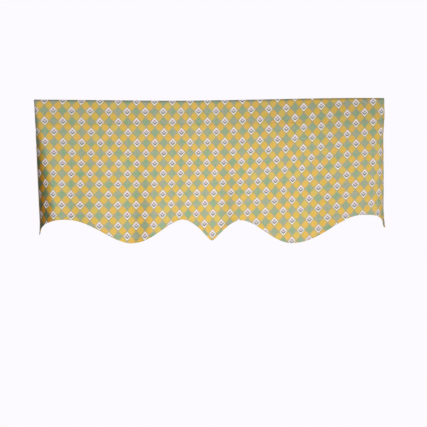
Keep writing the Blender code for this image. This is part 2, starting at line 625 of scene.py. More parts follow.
class NodeDesk:
    """Adds the nodes of one material or world and wires them up."""

    def __init__(self, tree: bpy.types.NodeTree) -> None:
        """Starts on an empty tree."""
        self.tree = tree
        tree.nodes.clear()

    def add(self, kind: str) -> bpy.types.Node:
        """Returns a new node of that kind."""
        return self.tree.nodes.new(kind)

    def wire(self, value: Wired | Colour, socket: Socket) -> None:
        """Leads a value into a socket, as a link where it comes from a node.

        Args:
            value: A node's output, a number or a colour.
            socket: The input that takes it.
        """
        if isinstance(value, Socket):
            self.tree.links.new(value, socket)
        elif isinstance(value, tuple):
            socket.default_value = (*value, 1.0)
        else:
            socket.default_value = value

    def maths(self, operation: str, *values: Wired) -> Socket:
        """Returns the result of a sum on one to three values.

        Args:
            operation: The sum's name, such as ADD.
            *values: What goes in, in order.

        Returns:
            The result's socket.
        """
        node = self.add("ShaderNodeMath")
        node.operation = operation
        for value, socket in zip(values, node.inputs):
            self.wire(value, socket)
        return node.outputs[0]

    def length(self, x: Wired, y: Wired) -> Socket:
        """Returns the length of a way from its two parts."""
        squares = [self.maths("MULTIPLY", part, part) for part in (x, y)]
        return self.maths("SQRT", self.maths("ADD", *squares))

    def ramp(self, value: Wired, start: Wired, stop: Wired) -> Socket:
        """Leads a value through a smooth step.

        Args:
            value: What goes in.
            start: Where the step is 0.
            stop: Where it is 1, on either side of the start.

        Returns:
            The step's socket.
        """
        node = self.add("ShaderNodeMapRange")
        node.interpolation_type = "SMOOTHSTEP"
        self.wire(value, node.inputs["Value"])
        self.wire(start, node.inputs["From Min"])
        self.wire(stop, node.inputs["From Max"])
        return node.outputs["Result"]

    def vector(self, x: Wired, y: Wired, z: Wired = 0.0) -> Socket:
        """Makes a vector of three values.

        Args:
            x: The first value.
            y: The second value.
            z: The third value.

        Returns:
            The vector's socket.
        """
        node = self.add("ShaderNodeCombineXYZ")
        for value, socket in zip((x, y, z), node.inputs):
            self.wire(value, socket)
        return node.outputs[0]

    def noise(self, vector: Socket, scale: float, detail: float = 2.0) -> Socket:
        """Returns soft noise from 0 to 1, its middle near 0.5.

        Args:
            vector: The place to read it at.
            scale: Lumps to a metre.
            detail: How many finer layers are added.

        Returns:
            The noise's socket.
        """
        node = self.add("ShaderNodeTexNoise")
        node.inputs["Scale"].default_value = scale
        node.inputs["Detail"].default_value = detail
        self.wire(vector, node.inputs["Vector"])
        return node.outputs["Fac"]

    def chance(self, vector: Socket) -> Socket:
        """Makes a number from 0 to 1 that is the same all over a whole-numbered place.

        Args:
            vector: The place.

        Returns:
            The number's socket.
        """
        node = self.add("ShaderNodeTexWhiteNoise")
        node.noise_dimensions = "3D"
        self.wire(vector, node.inputs["Vector"])
        return node.outputs["Value"]

    def blend(self, share: Wired, first: Wired | Colour, second: Wired | Colour) -> Socket:
        """Mixes two colours.

        Args:
            share: How much of the second one there is.
            first: The colour at a share of 0.
            second: The colour at a share of 1.

        Returns:
            The colour's socket.
        """
        node = self.add("ShaderNodeMix")
        node.data_type = "RGBA"
        self.wire(share, node.inputs["Factor"])
        self.wire(first, node.inputs[6])
        self.wire(second, node.inputs[7])
        return node.outputs[2]

    def shade(self, colour: Socket, amount: Wired) -> Socket:
        """Makes a colour lighter or darker.

        Args:
            colour: The colour.
            amount: What its red, green and blue are multiplied by.

        Returns:
            The new colour's socket.
        """
        node = self.add("ShaderNodeVectorMath")
        node.operation = "SCALE"
        self.wire(colour, node.inputs[0])
        self.wire(amount, node.inputs["Scale"])
        return node.outputs[0]

    def bump(self, height: Socket, strength: float, distance: float) -> Socket:
        """Returns the normals of a surface that is raised by a height.

        Args:
            height: The height, in units of the distance.
            strength: How much of it is shown.
            distance: The metres that a height of 1 stands for.

        Returns:
            The normal's socket.
        """
        node = self.add("ShaderNodeBump")
        node.inputs["Strength"].default_value = strength
        node.inputs["Distance"].default_value = distance
        self.wire(height, node.inputs["Height"])
        return node.outputs[0]

    def show(self, surface: Socket, output: str = "ShaderNodeOutputMaterial") -> None:
        """Leads a finished shader to the output of its material or world."""
        self.wire(surface, self.add(output).inputs["Surface"])


def new_material(name: str) -> tuple[bpy.types.Material, NodeDesk]:
    """Makes a material that has no nodes yet.

    Args:
        name: The material's name.

    Returns:
        The material and the desk for its nodes.
    """
    material = bpy.data.materials.new(name)
    material.use_nodes = True
    return material, NodeDesk(material.node_tree)


@dataclass(frozen=True)
class DiamondPrint:
    """The printed repeat: gold diamonds, with green ones and white ones with a sprig in their gaps.

    The sprig is a pair of leaves that meet below a bud, with a fainter pair that curls up inside them.
    Pitches are from one white diamond to the next green one, and the sizes of lines and margins are
    shares of a diamond's side. A range is where a soft step starts and where it stops.
    """

    column_pitch: float = 0.03215
    row_pitch: float = 0.03726
    first_column: float = -0.23998
    first_row: float = 0.0406
    line_share: float = 0.053
    white_margin_share: float = 0.066
    edge_softness: float = 0.020
    gold_softness: float = 0.055
    sharp_corner_power: float = 14.0
    gold_corner_power: float = 4.5
    wobble: float = 0.0007
    wobble_scale: float = 75.0
    patch_scale: float = 85.0
    patch_range: tuple[float, float] = (0.36, 0.64)
    patch_share: float = 0.60
    straw_range: tuple[float, float] = (0.55, 0.95)
    straw_share: float = 0.60
    blush_scale: float = 60.0
    blush_range: tuple[float, float] = (0.45, 0.75)
    blush_share: float = 0.50
    fading_range: tuple[float, float] = (0.0, 0.6)
    leaf_foot: float = 0.0070
    leaf_curve: float = 0.0015
    leaf_reach: float = 0.0096
    leaf_tip: float = 0.06
    leaf_tapers_from: float = 0.45
    leaf_half_width: float = 0.0022
    leaf_outer_share: float = 0.85
    leaf_swelling: float = 0.25
    leaf_core: float = 0.62
    curl_radius: float = 0.0042
    curl_half_width: float = 0.0020
    curl_core: float = 0.40
    curl_range: tuple[float, float] = (-1.1, -0.4)
    curl_share: float = 0.50
    bud_height: float = 0.0043
    bud_radius: float = 0.0036
    bud_range: tuple[float, float] = (1.2, 0.6)
    halo_radius: float = 0.0098
    halo_core: float = 0.25
    gold: Colour = (0.698, 0.510, 0.074)
    amber: Colour = (0.825, 0.468, 0.134)
    straw: Colour = (0.640, 0.540, 0.124)
    green: Colour = (0.250, 0.430, 0.225)
    sage: Colour = (0.420, 0.410, 0.330)
    white: Colour = (0.810, 0.775, 0.740)
    lilac: Colour = (0.780, 0.660, 0.710)
    line: Colour = (0.470, 0.400, 0.220)
    leaf: Colour = (0.130, 0.150, 0.145)
    bud: Colour = (0.460, 0.250, 0.370)
    faded_bud: Colour = (0.420, 0.370, 0.390)

    def draw(self, desk: NodeDesk) -> tuple[Socket, Socket]:
        """Draws the print.

        Args:
            desk: The material's nodes.

        Returns:
            The colour of the printed cloth, and 1 in the white diamonds and 0 outside them.
        """
        bolt = desk.add("ShaderNodeUVMap")
        bolt.uv_map = SewnPanel.UV_NAME
        place = bolt.outputs[0]
        axes = desk.add("ShaderNodeSeparateXYZ")
        desk.wire(place, axes.inputs[0])
        across = self._shaken(desk, axes.outputs[0], place, 0.0)
        down = self._shaken(desk, axes.outputs[1], place, 5.0)

        column = desk.maths("DIVIDE", desk.maths("SUBTRACT", across, self.first_column), self.column_pitch)
        row = desk.maths("DIVIDE", desk.maths("SUBTRACT", down, self.first_row), self.row_pitch)
        rising = desk.maths("ADD", column, row)
        falling = desk.maths("SUBTRACT", column, row)
        rising_cell = desk.maths("ROUND", rising)
        falling_cell = desk.maths("ROUND", falling)
        rising_off = desk.maths("SUBTRACT", rising, rising_cell)
        falling_off = desk.maths("SUBTRACT", falling, falling_cell)
        rising_odd = desk.maths("FLOORED_MODULO", rising_cell, 2.0)
        falling_odd = desk.maths("FLOORED_MODULO", falling_cell, 2.0)
        is_green = desk.maths("MULTIPLY", rising_odd, falling_odd)
        is_white = desk.maths("SUBTRACT", 1.0, desk.maths("MAXIMUM", rising_odd, falling_odd))

        chance = desk.chance(desk.vector(rising_cell, falling_cell, 0.0))
        tint = self._tint(desk, place, chance)
        fill = desk.blend(is_green, self._gold(desk, tint, chance), desk.blend(tint, self.green, self.sage))
        fill = desk.blend(is_white, fill, self._white(desk, place, (rising_off, falling_off), chance))
        is_sharp = desk.maths("MAXIMUM", is_green, is_white)
        inside = self._inside(desk, (rising_off, falling_off), is_white, is_sharp)
        return desk.blend(inside, self.line, fill), desk.maths("MULTIPLY", inside, is_white)

    def _shaken(self, desk: NodeDesk, value: Socket, place: Socket, apart: float) -> Socket:
        """Adds the small wobble of a hand-cut block to a place.

        Args:
            desk: The material's nodes.
            value: How far across or down the place is.
            place: The place on the bolt of cloth.
            apart: Where the noise is read, so that two wobbles differ.

        Returns:
            The place across or down, with its wobble.
        """
        node = desk.add("ShaderNodeTexNoise")
        node.noise_dimensions = "4D"
        node.inputs["Scale"].default_value = self.wobble_scale
        node.inputs["Detail"].default_value = 1.0
        node.inputs["W"].default_value = apart
        desk.wire(place, node.inputs["Vector"])
        swing = desk.maths("SUBTRACT", node.outputs["Fac"], 0.5)
        return desk.maths("MULTIPLY_ADD", swing, 2.0 * self.wobble, value)

    def _tint(self, desk: NodeDesk, place: Socket, chance: Socket) -> Socket:
        """Works out how far the ink drifts towards its second colour.

        Args:
            desk: The material's nodes.
            place: The place on the bolt of cloth.
            chance: A number from 0 to 1 that is the same all over a diamond.

        Returns:
            The drift, from 0 to 1.
        """
        patches = desk.ramp(desk.noise(place, self.patch_scale), *self.patch_range)
        patchy = desk.maths("MULTIPLY", patches, self.patch_share)
        return desk.maths("MULTIPLY_ADD", chance, 1.0 - self.patch_share, patchy)

    def _gold(self, desk: NodeDesk, tint: Socket, chance: Socket) -> Socket:
        """Mixes the gold ink, which drifts to amber, and on some diamonds to straw.

        Args:
            desk: The material's nodes.
            tint: How far the ink drifts, from 0 to 1.
            chance: A number from 0 to 1 that is the same all over a diamond.

        Returns:
            The ink's colour.
        """
        warm = desk.blend(tint, self.gold, self.amber)
        pale = desk.maths("MULTIPLY", desk.ramp(chance, *self.straw_range), self.straw_share)
        return desk.blend(pale, warm, self.straw)

    def _inside(
        self, desk: NodeDesk, offs: tuple[Socket, Socket], is_white: Socket, is_sharp: Socket
    ) -> Socket:
        """Returns 1 inside a diamond and 0 on the lines between them.

        Args:
            desk: The material's nodes.
            offs: How far off the diamond's middle the place is, along each pair of its sides.
            is_white: 1 in the white diamonds, which are printed smaller.
            is_sharp: 1 in the diamonds with sharp corners and edges, and 0 in the gold ones.

        Returns:
            The share of ink that is not line.
        """
        sharper = self.sharp_corner_power - self.gold_corner_power
        corner_power = desk.maths("MULTIPLY_ADD", is_sharp, sharper, self.gold_corner_power)
        powers = [desk.maths("POWER", desk.maths("ABSOLUTE", off), corner_power) for off in offs]
        reach = desk.maths("POWER", desk.maths("ADD", *powers), desk.maths("DIVIDE", 1.0, corner_power))
        margin = desk.maths("SUBTRACT", 0.5, reach)
        extra = self.white_margin_share - self.line_share
        line = desk.maths("MULTIPLY_ADD", is_white, extra, self.line_share)
        crisper = self.edge_softness - self.gold_softness
        softness = desk.maths("MULTIPLY_ADD", is_sharp, crisper, self.gold_softness)
        return desk.ramp(margin, desk.maths("SUBTRACT", line, softness), desk.maths("ADD", line, softness))

    def _white(self, desk: NodeDesk, place: Socket, offs: tuple[Socket, Socket], chance: Socket) -> Socket:
        """Returns the white diamond with its bud, the blush round the bud, and its leaves.

        Args:
            desk: The material's nodes.
            place: The place on the bolt of cloth.
            offs: How far off the diamond's middle the place is, along each pair of its sides.
            chance: A number from 0 to 1 that is the same all over the diamond.

        Returns:
            The colour inside the white diamond.
        """
        rising, falling = offs
        aside = desk.maths("MULTIPLY", desk.maths("ADD", rising, falling), 0.5 * self.column_pitch)
        below = desk.maths("MULTIPLY", desk.maths("SUBTRACT", rising, falling), 0.5 * self.row_pitch)
        blush = desk.ramp(desk.noise(place, self.blush_scale), *self.blush_range)
        ground = desk.blend(desk.maths("MULTIPLY", blush, self.blush_share), self.white, self.lilac)

        from_bud = desk.length(aside, desk.maths("ADD", below, self.bud_height))
        halo = desk.ramp(from_bud, self.halo_radius, self.halo_core * self.halo_radius)
        ground = desk.blend(halo, ground, self.lilac)
        bud = desk.ramp(from_bud, *(self.bud_radius * share for share in self.bud_range))
        petals = desk.blend(desk.ramp(chance, *self.fading_range), self.bud, self.faded_bud)
        ground = desk.blend(bud, ground, petals)
        leaves = desk.maths("MAXIMUM", self._leaves(desk, aside, below), self._curl(desk, aside, below))
        return desk.blend(leaves, ground, self.leaf)

    def _leaves(self, desk: NodeDesk, aside: Socket, below: Socket) -> Socket:
        """Draws the pair of leaves that meet in a V, wider near where they meet.

        Args:
            desk: The material's nodes.
            aside: How far to the right of the diamond's middle the place is.
            below: How far below the diamond's middle it is.

        Returns:
            How strongly they show, and 0 outside them.
        """
        spread = desk.maths("ABSOLUTE", aside)
        curved = desk.maths("SQRT", desk.maths("MULTIPLY_ADD", spread, spread, self.leaf_curve**2))
        spine = desk.maths("SUBTRACT", self.leaf_foot + self.leaf_curve, curved)
        off_spine = desk.maths("ABSOLUTE", desk.maths("SUBTRACT", below, spine))
        swelling = desk.ramp(spread, self.leaf_reach, self.leaf_tapers_from * self.leaf_reach)
        shares = (self.leaf_swelling, self.leaf_outer_share)
        half_width = desk.maths("MULTIPLY_ADD", swelling, *(self.leaf_half_width * share for share in shares))
        leaf = desk.ramp(off_spine, half_width, desk.maths("MULTIPLY", half_width, self.leaf_core))
        tips = ((1.0 + self.leaf_tip) * self.leaf_reach, (1.0 - self.leaf_tip) * self.leaf_reach)
        return desk.maths("MULTIPLY", leaf, desk.ramp(spread, *tips))

    def _curl(self, desk: NodeDesk, aside: Socket, below: Socket) -> Socket:
        """Draws the faint inner leaves, which curl up round the diamond's middle and fade at the bud.

        Args:
            desk: The material's nodes.
            aside: How far to the right of the diamond's middle the place is.
            below: How far below the diamond's middle it is.

        Returns:
            How strongly they show, and 0 outside them.
        """
        off_ring = desk.maths("SUBTRACT", desk.length(aside, below), self.curl_radius)
        core = self.curl_core * self.curl_half_width
        ring = desk.ramp(desk.maths("ABSOLUTE", off_ring), self.curl_half_width, core)
        low = desk.ramp(below, *(self.curl_radius * share for share in self.curl_range))
        return desk.maths("MULTIPLY", desk.maths("MULTIPLY", ring, low), self.curl_share)


@dataclass(frozen=True)
class Cotton:
    """The cotton that carries the print: its threads, its thick yarns and its dull surface.

    Shown is how much of the print is seen: all of it on the face, and a ghost of it on the reverse. A
    painted shade is the share of colour taken where the panel's attribute is 1, and the white diamonds are
    spared.
    """

    name: str
    shown: float
    artwork: DiamondPrint = DiamondPrint()
    ground: Colour = (0.720, 0.670, 0.560)
    thread_pitch: float = 0.00055
    weave_depth: float = 0.00012
    slub_depth: float = 0.00030
    slub_stretch: tuple[float, float] = (900.0, 45.0)
    bump_strength: float = 0.5
    streak_stretch: tuple[float, float] = (420.0, 60.0)
    streak_strength: float = 0.12
    grain_scale: float = 900.0
    grain_strength: float = 0.16
    roughness: float = 0.88
    gloss: float = 0.25
    sheen: float = 0.12
    sheen_roughness: float = 0.5
    # Strengths of the painted shades; the one on the bent left end also deepens the ink by a power. The white
    # diamonds are spared.
    painted_shade_strength: float = 0.70
    bend_shade_strength: float = 0.46
    bend_shade_power: float = 2.0
    white_spared: float = 0.80

    def material(self) -> bpy.types.Material:
        """Wires up the cotton's nodes.

        Returns:
            The finished material.
        """
        material, desk = new_material(self.name)
        bolt = desk.add("ShaderNodeUVMap")
        bolt.uv_map = SewnPanel.UV_NAME
        place = bolt.outputs[0]

        shader = desk.add("ShaderNodeBsdfPrincipled")
        shader.inputs["Roughness"].default_value = self.roughness
        shader.inputs["Sheen Weight"].default_value = self.sheen
        shader.inputs["Sheen Roughness"].default_value = self.sheen_roughness
        shader.inputs["Specular IOR Level"].default_value = self.gloss
        desk.wire(self._colour(desk, place), shader.inputs["Base Color"])
        desk.wire(self._normal(desk, place), shader.inputs["Normal"])
        desk.show(shader.outputs[0])
        return material

    def _colour(self, desk: NodeDesk, place: Socket) -> Socket:
        """Mixes the ink on its ground, with uneven dye, painted shade, and deeper painted shade at the bent
        end.

        Args:
            desk: The material's nodes.
            place: The place on the bolt of cloth.

        Returns:
            The colour of the cloth.
        """
        colour, is_white = self.artwork.draw(desk)
        if self.shown < 1.0:
            colour = desk.blend(self.shown, self.ground, colour)
        streaks = desk.noise(self._stretched(desk, place, *self.streak_stretch), 1.0, 3.0)
        grain = desk.noise(place, self.grain_scale)
        uneven = self._around_one(desk, streaks, self.streak_strength)
        uneven = desk.maths("MULTIPLY", uneven, self._around_one(desk, grain, self.grain_strength))
        inked = desk.maths("MULTIPLY_ADD", is_white, -self.white_spared, 1.0)
        # Painted shade along the top and hem edges, in the heading seam, over the doubled heading and towards
        # the top right.
        painted_shade = self._share(desk, SewnPanel.PAINTED_SHADE_NAME, inked)
        # Painted shade on the bent left end, kept in the attribute named bent.
        bent = self._share(desk, SewnPanel.BEND_SHADE_NAME, inked)
        # The bent end's painted shade also deepens the ink, by raising it to a power.
        bend_deepened = desk.add("ShaderNodeGamma")
        desk.wire(colour, bend_deepened.inputs["Color"])
        desk.wire(desk.maths("MULTIPLY_ADD", bent, self.bend_shade_power, 1.0), bend_deepened.inputs["Gamma"])
        # Darkens the colour by both painted shades.
        for dark, strength in ((painted_shade, self.painted_shade_strength), (bent, self.bend_shade_strength)):
            uneven = desk.maths("MULTIPLY", uneven, desk.maths("MULTIPLY_ADD", dark, -strength, 1.0))
        return desk.shade(bend_deepened.outputs[0], uneven)

    def _around_one(self, desk: NodeDesk, noise: Socket, strength: float) -> Socket:
        """Returns noise as a factor with its middle at 1 and the strength as its whole swing."""
        return desk.maths("MULTIPLY_ADD", noise, strength, 1.0 - 0.5 * strength)

    def _share(self, desk: NodeDesk, attribute: str, inked: Socket) -> Socket:
        """Reads one of the panel's painted shade attributes, as far as there is ink for it to darken.

        Args:
            desk: The material's nodes.
            attribute: The attribute's name.
            inked: How much ink there is, from 0 to 1.

        Returns:
            The attribute times the ink.
        """
        node = desk.add("ShaderNodeAttribute")
        node.attribute_name = attribute
        return desk.maths("MULTIPLY", node.outputs["Fac"], inked)

    def _stretched(self, desk: NodeDesk, place: Socket, across: float, down: float) -> Socket:
        """Scales a place by different amounts across and down.

        Args:
            desk: The material's nodes.
            place: The place on the bolt of cloth.
            across: The amount across.
            down: The amount down.

        Returns:
            The scaled place.
        """
        node = desk.add("ShaderNodeVectorMath")
        node.operation = "MULTIPLY"
        desk.wire(place, node.inputs[0])
        node.inputs[1].default_value = (across, down, 1.0)
        return node.outputs[0]

    def _normal(self, desk: NodeDesk, place: Socket) -> Socket:
        """Raises a plain weave with some thick yarns.

        Args:
            desk: The material's nodes.
            place: The place on the bolt of cloth.

        Returns:
            The normal's socket.
        """
        axes = desk.add("ShaderNodeSeparateXYZ")
        desk.wire(place, axes.inputs[0])
        waves = [
            desk.maths("SINE", desk.maths("MULTIPLY", axis, math.pi / self.thread_pitch))
            for axis in (axes.outputs[0], axes.outputs[1])
        ]
        weave = desk.maths("MULTIPLY", *waves)
        thick, long = self.slub_stretch
        warp = desk.noise(self._stretched(desk, place, thick, long), 1.0)
        weft = desk.noise(self._stretched(desk, place, long, thick), 1.0)
        slubs = desk.maths("ADD", warp, weft)
        height = desk.maths("MULTIPLY", weave, self.weave_depth)
        height = desk.maths("MULTIPLY_ADD", slubs, self.slub_depth, height)
        return desk.bump(height, self.bump_strength, 1.0)


@dataclass(frozen=True)
class SewingThread:
    """The cotton thread of the seams, twisted and a little glossy."""

    name: str = "sewing_thread"
    pale: Colour = (0.660, 0.490, 0.200)
    deep: Colour = (0.520, 0.370, 0.130)
    roughness: float = 0.62
    twist_scale: float = 1500.0
    twist_strength: float = 0.3
    twist_depth: float = 0.0001

    def material(self) -> bpy.types.Material:
        """Wires up the thread's nodes.

        Returns:
            The finished material.
        """
        material, desk = new_material(self.name)
        place = desk.add("ShaderNodeTexCoord").outputs["Object"]
        twist = desk.noise(place, self.twist_scale, 1.0)
        shader = desk.add("ShaderNodeBsdfPrincipled")
        shader.inputs["Roughness"].default_value = self.roughness
        desk.wire(desk.blend(twist, self.deep, self.pale), shader.inputs["Base Color"])
        normal = desk.bump(twist, self.twist_strength, self.twist_depth)
        desk.wire(normal, shader.inputs["Normal"])
        desk.show(shader.outputs[0])
        return material


def new_piece(name: str, points: Array, faces: list[tuple[int, ...]]) -> bpy.types.Object:
    """Makes a piece of the valance from its points and faces.

    Args:
        name: The piece's name.
        points: Its points, a row for each.
        faces: Its faces, as numbers of points.

    Returns:
        The new object, linked to the scene.
    """
    mesh = bpy.data.meshes.new(name)
    mesh.from_pydata(points.tolist(), [], faces)
    mesh.shade_smooth()
    piece = bpy.data.objects.new(name, mesh)
    bpy.context.scene.collection.objects.link(piece)
    return piece


@dataclass
class SewnPanel:
    """The one piece of cloth, with its heading and its hem turned to the back and sewn down.

    Its points lie in columns. Each column runs up behind the front, over the top fold, down the front,
    round the hem and up behind it.
    """

    UV_NAME = "printed_cloth"
    # Attributes that hold painted shade: the first for the edges, seams, heading and top right, the second
    # for the bent left end.
    PAINTED_SHADE_NAME = "painted_shade"
    BEND_SHADE_NAME = "bent"

    cloth: HungCloth
    lay: PrintPlace = PrintPlace()
    thickness: float = 0.0007
    heading_turning: float = 0.091
    heading_seam: float = 0.0875
    hem_turning: float = 0.016
    hem_seam: float = 0.0135
    edge_seam: float = 0.0080
    top_fold_radius: float = 0.0020
    hem_fold_radius: float = 0.0010
    seam_gap: float = 0.0002
    heading_belly: float = 0.0016
    seam_sink: float = 0.0008
    seam_width: float = 0.0024
    seam_rows: tuple[float, ...] = (-0.0052, -0.0034, -0.0017, 0.0, 0.0017, 0.0034, 0.0052)
    seam_clearance: float = 0.0115
    hem_sink_share: float = 0.8
    pucker_height: float = 0.00045
    pucker_length: float = 0.0165
    pucker_drift: tuple[float, float] = (1.7, 0.23)
    pucker_swell: tuple[float, float] = (0.4, 0.37)
    pucker_reach: float = 0.012
    hem_pucker_share: float = 0.7
    # Painted shade: a dark line along the top and hem edges, a darker heading seam and a darker doubled
    # heading.
    edge_shade_width: float = 0.0024
    seam_shade: float = 0.10
    doubled_shade: float = 0.04
    doubled_edge: float = 0.004
    # Painted shade that darkens the top of the front, more towards the right.
    top_right_shade: float = 0.20
    top_right_shade_reach: float = 0.26
    top_right_shade_on_left: float = 0.3
    top_right_shade_from: float = -0.10
    top_right_shade_length: float = 0.45
    # Painted shade on the bent left end: it grows down the cloth, fades past the bend and clears where the
    # cloth has turned far round.
    bend_shade_growth: float = 0.300
    bend_shade_fade: float = 0.045
    bend_shade_darkest: float = 0.50
    bend_shade_clears_in: float = 0.45
    sharp_deg: float = 60.0
    reverse_shown: float = 0.30
    line_step: float = 0.002
    line_margin: float = 0.003
    edge_margin: float = 0.004
    column_step: float = 0.0047
    front_rows: int = 56
    heading_rows: int = 12
    fold_steps: int = 6
    hem_rows: int = 3

    def columns(self) -> Array:
        """Returns the columns, evenly spaced from one wall to the other."""
        left = self.cloth.wall_column(Side.LEFT)
        right = self.cloth.wall_column(Side.RIGHT)
        return np.linspace(left, right, round((right - left) / self.column_step) + 1)

    def _layer_gap(self) -> float:
        """Returns how far a turned layer's printed face lies behind the front where it is sewn down."""
        return 2.0 * self.thickness + self.seam_gap

    def _heading_offset(self, down: Array) -> Array:
        """Works out how far behind the front the turned heading hangs.

        Args:
            down: How far down each height lies.

        Returns:
            The distance at each height.
        """
        share = (down - self.top_fold_radius) / (self.heading_seam - self.top_fold_radius)
        ease = smooth(share)
        fold = 2.0 * self.top_fold_radius
        belly = self.heading_belly * np.sin(np.pi * np.clip(share, 0.0, 1.0))
        return fold * (1.0 - ease) + self._layer_gap() * ease + belly

    def _rows(self, drop: Array) -> tuple[Array, Array, Array]:
        """Lays out the rows of each column, from the turned heading to the turned hem.

        Args:
            drop: The length of each column, as an array of one column.

        Returns:
            How far down each point lies, how far behind the front, and its place along the cloth.
        """
        top = self.top_fold_radius
        hem = self.hem_fold_radius
        near_seam = np.array(self.seam_rows)
        level = np.ones_like(drop)

        behind = np.linspace(self.heading_turning, top, self.heading_rows + 1)[:-1] * level
        over = np.linspace(np.pi, 0.0, self.fold_steps + 1) * level
        front = np.concatenate(
            [
                np.linspace(top, self.heading_seam, self.heading_rows)[1:-1] * level,
                (self.heading_seam + near_seam) * level,
                self._front_rows(drop),
                drop - self.hem_seam + near_seam,
            ],
            axis=1,
        )
        round_hem = np.linspace(0.0, np.pi, self.fold_steps + 1) * level
        climb = np.linspace(hem, self.hem_turning, self.hem_rows + 1)[1:] * level

        gap = self._layer_gap()
        hem_share = smooth((climb - hem) / (self.hem_seam - hem))
        down = [
            behind,
            top * (1.0 - np.sin(over)),
            front,
            drop - hem * (1.0 - np.sin(round_hem)),
            drop - climb,
        ]
        offset = [
            self._heading_offset(behind),
            top * (1.0 - np.cos(over)),
            0.0 * front,
            hem * (1.0 - np.cos(round_hem)),
            2.0 * hem * (1.0 - hem_share) + gap * hem_share,
        ]
        path = [
            top - np.pi * top - (behind - top),
            top * (1.0 - over),
            front,
            drop - hem + hem * round_hem,
            drop - hem + np.pi * hem + (climb - hem),
        ]
        return np.concatenate(down, 1), np.concatenate(offset, 1), np.concatenate(path, 1)

    def _front_rows(self, drop: Array) -> Array:
        """Spaces the rows of the front between its two seams.

        Args:
            drop: The length of each column, as an array of one column.

        Returns:
            How far down each row lies, for each column.
        """
        share = np.linspace(0.0, 1.0, self.front_rows)
        start = self.heading_seam + self.seam_clearance
        return start + (drop - self.hem_seam - self.seam_clearance - start) * share

    def seam_relief(self, column: Array, down: Array, drop: Array) -> Array:
        """Returns how far the seams draw the cloth in, and the puckers that they leave.

        Args:
            column: The columns.
            down: How far down each point lies.
            drop: The length of each point's column.

        Returns:
            The height of the cloth over its creased shape, below 0 in the seams' grooves.
        """
        from_heading = down - self.heading_seam
        from_hem = down - (drop - self.hem_seam)
        sink = hump(from_heading, self.seam_width) + self.hem_sink_share * hump(from_hem, self.seam_width)
        near = hump(from_heading, self.pucker_reach)
        near = near + self.hem_pucker_share * hump(from_hem, self.pucker_reach)

        turn = 2.0 * np.pi * column / self.pucker_length
        drift, drift_pace = self.pucker_drift
        swell, swell_pace = self.pucker_swell
        uneven = np.sin(turn + drift * np.sin(drift_pace * turn))
        uneven = uneven * (1.0 - swell + swell * np.sin(swell_pace * turn + 1.0))
        return self.pucker_height * uneven * near - self.seam_sink * sink

    def _painted_shade(self, column: Array, path: Array, down: Array, drop: Array) -> Array:
        """Returns how strongly each point is darkened by painted shade: at the top and hem edges, in the
        heading seam, over the doubled heading and towards the top right.

        Args:
            column: The columns.
            path: The place of each point along the cloth, below 0 behind the top edge.
            down: How far down each point lies.
            drop: The length of each point's column.

        Returns:
            The strength at each point, from 0 to 1. The ink has faded least towards the top right.
        """
        # Painted shade in a line along the top edge.
        top_edge = hump(path, self.edge_shade_width)
        # Painted shade in a line along the hem edge and in the heading seam's groove.
        seams = hump(path - drop, self.edge_shade_width) + hump(down - self.heading_seam, self.seam_width)
        # Painted shade over the doubled heading.
        doubled = smooth((self.heading_turning - down) / self.doubled_edge)
        # Painted shade at the top, growing towards the right.
        to_right = smooth((column - self.top_right_shade_from) / self.top_right_shade_length)
        to_right = self.top_right_shade_on_left + (1.0 - self.top_right_shade_on_left) * to_right
        top_right_dark = smooth(1.0 - down / self.top_right_shade_reach) * to_right
        soft = self.doubled_shade * doubled + self.top_right_shade * top_right_dark
        return np.clip(top_edge + self.seam_shade * seams + soft, 0.0, 1.0)

    def _bend_shade(self, column: Array, down: Array) -> Array:
        """Works out how strongly each point shows the painted shade of the left bend, which darkens and
        deepens its ink.

        Args:
            column: The columns.
            down: How far down each point lies.

        Returns:
            The strength at each point, from 0 to 1.
        """
        share, past = self.cloth.turned(Side.LEFT, column, down)
        clearing = smooth((share - self.bend_shade_darkest) / self.bend_shade_clears_in)
        on_bend = share * (1.0 - clearing) * (1.0 - smooth(past / self.bend_shade_fade))
        return on_bend * smooth(down / self.bend_shade_growth)

    def build(self) -> bpy.types.Object:
        """Builds the panel and lays its print on it.

        Returns:
            The panel, as one closed sheet.
        """
        column = self.columns()[:, None]
        drop = self.cloth.column_drop(column)
        down, offset, path = self._rows(drop)
        raised = self.seam_relief(column, down, drop)
        inward = self.cloth.inward(column + 0.0 * down, down, raised)
        outer = self.cloth.points(column, down, raised) + inward * offset[:, :, None]
        towards_inside = np.cross(np.gradient(outer, axis=0), np.gradient(outer, axis=1))
        towards_inside /= np.linalg.norm(towards_inside, axis=2, keepdims=True)
        inner = outer + towards_inside * self.thickness

        faces, kinds = self._faces(*down.shape)
        points = np.concatenate([outer.reshape(-1, 3), inner.reshape(-1, 3)])
        piece = new_piece("valance_panel", points, faces)
        piece.data.polygons.foreach_set("material_index", kinds)
        self._lay_print(piece.data, self.cloth.across(column, down), path)
        # Keeps the painted shade of the edges, seams, heading and top right, and that of the bent left end.
        self._keep(piece.data, self.PAINTED_SHADE_NAME, self._painted_shade(column, path, down, drop))
        self._keep(piece.data, self.BEND_SHADE_NAME, self._bend_shade(column, down))
        piece.data.set_sharp_from_angle(angle=math.radians(self.sharp_deg))
        return piece

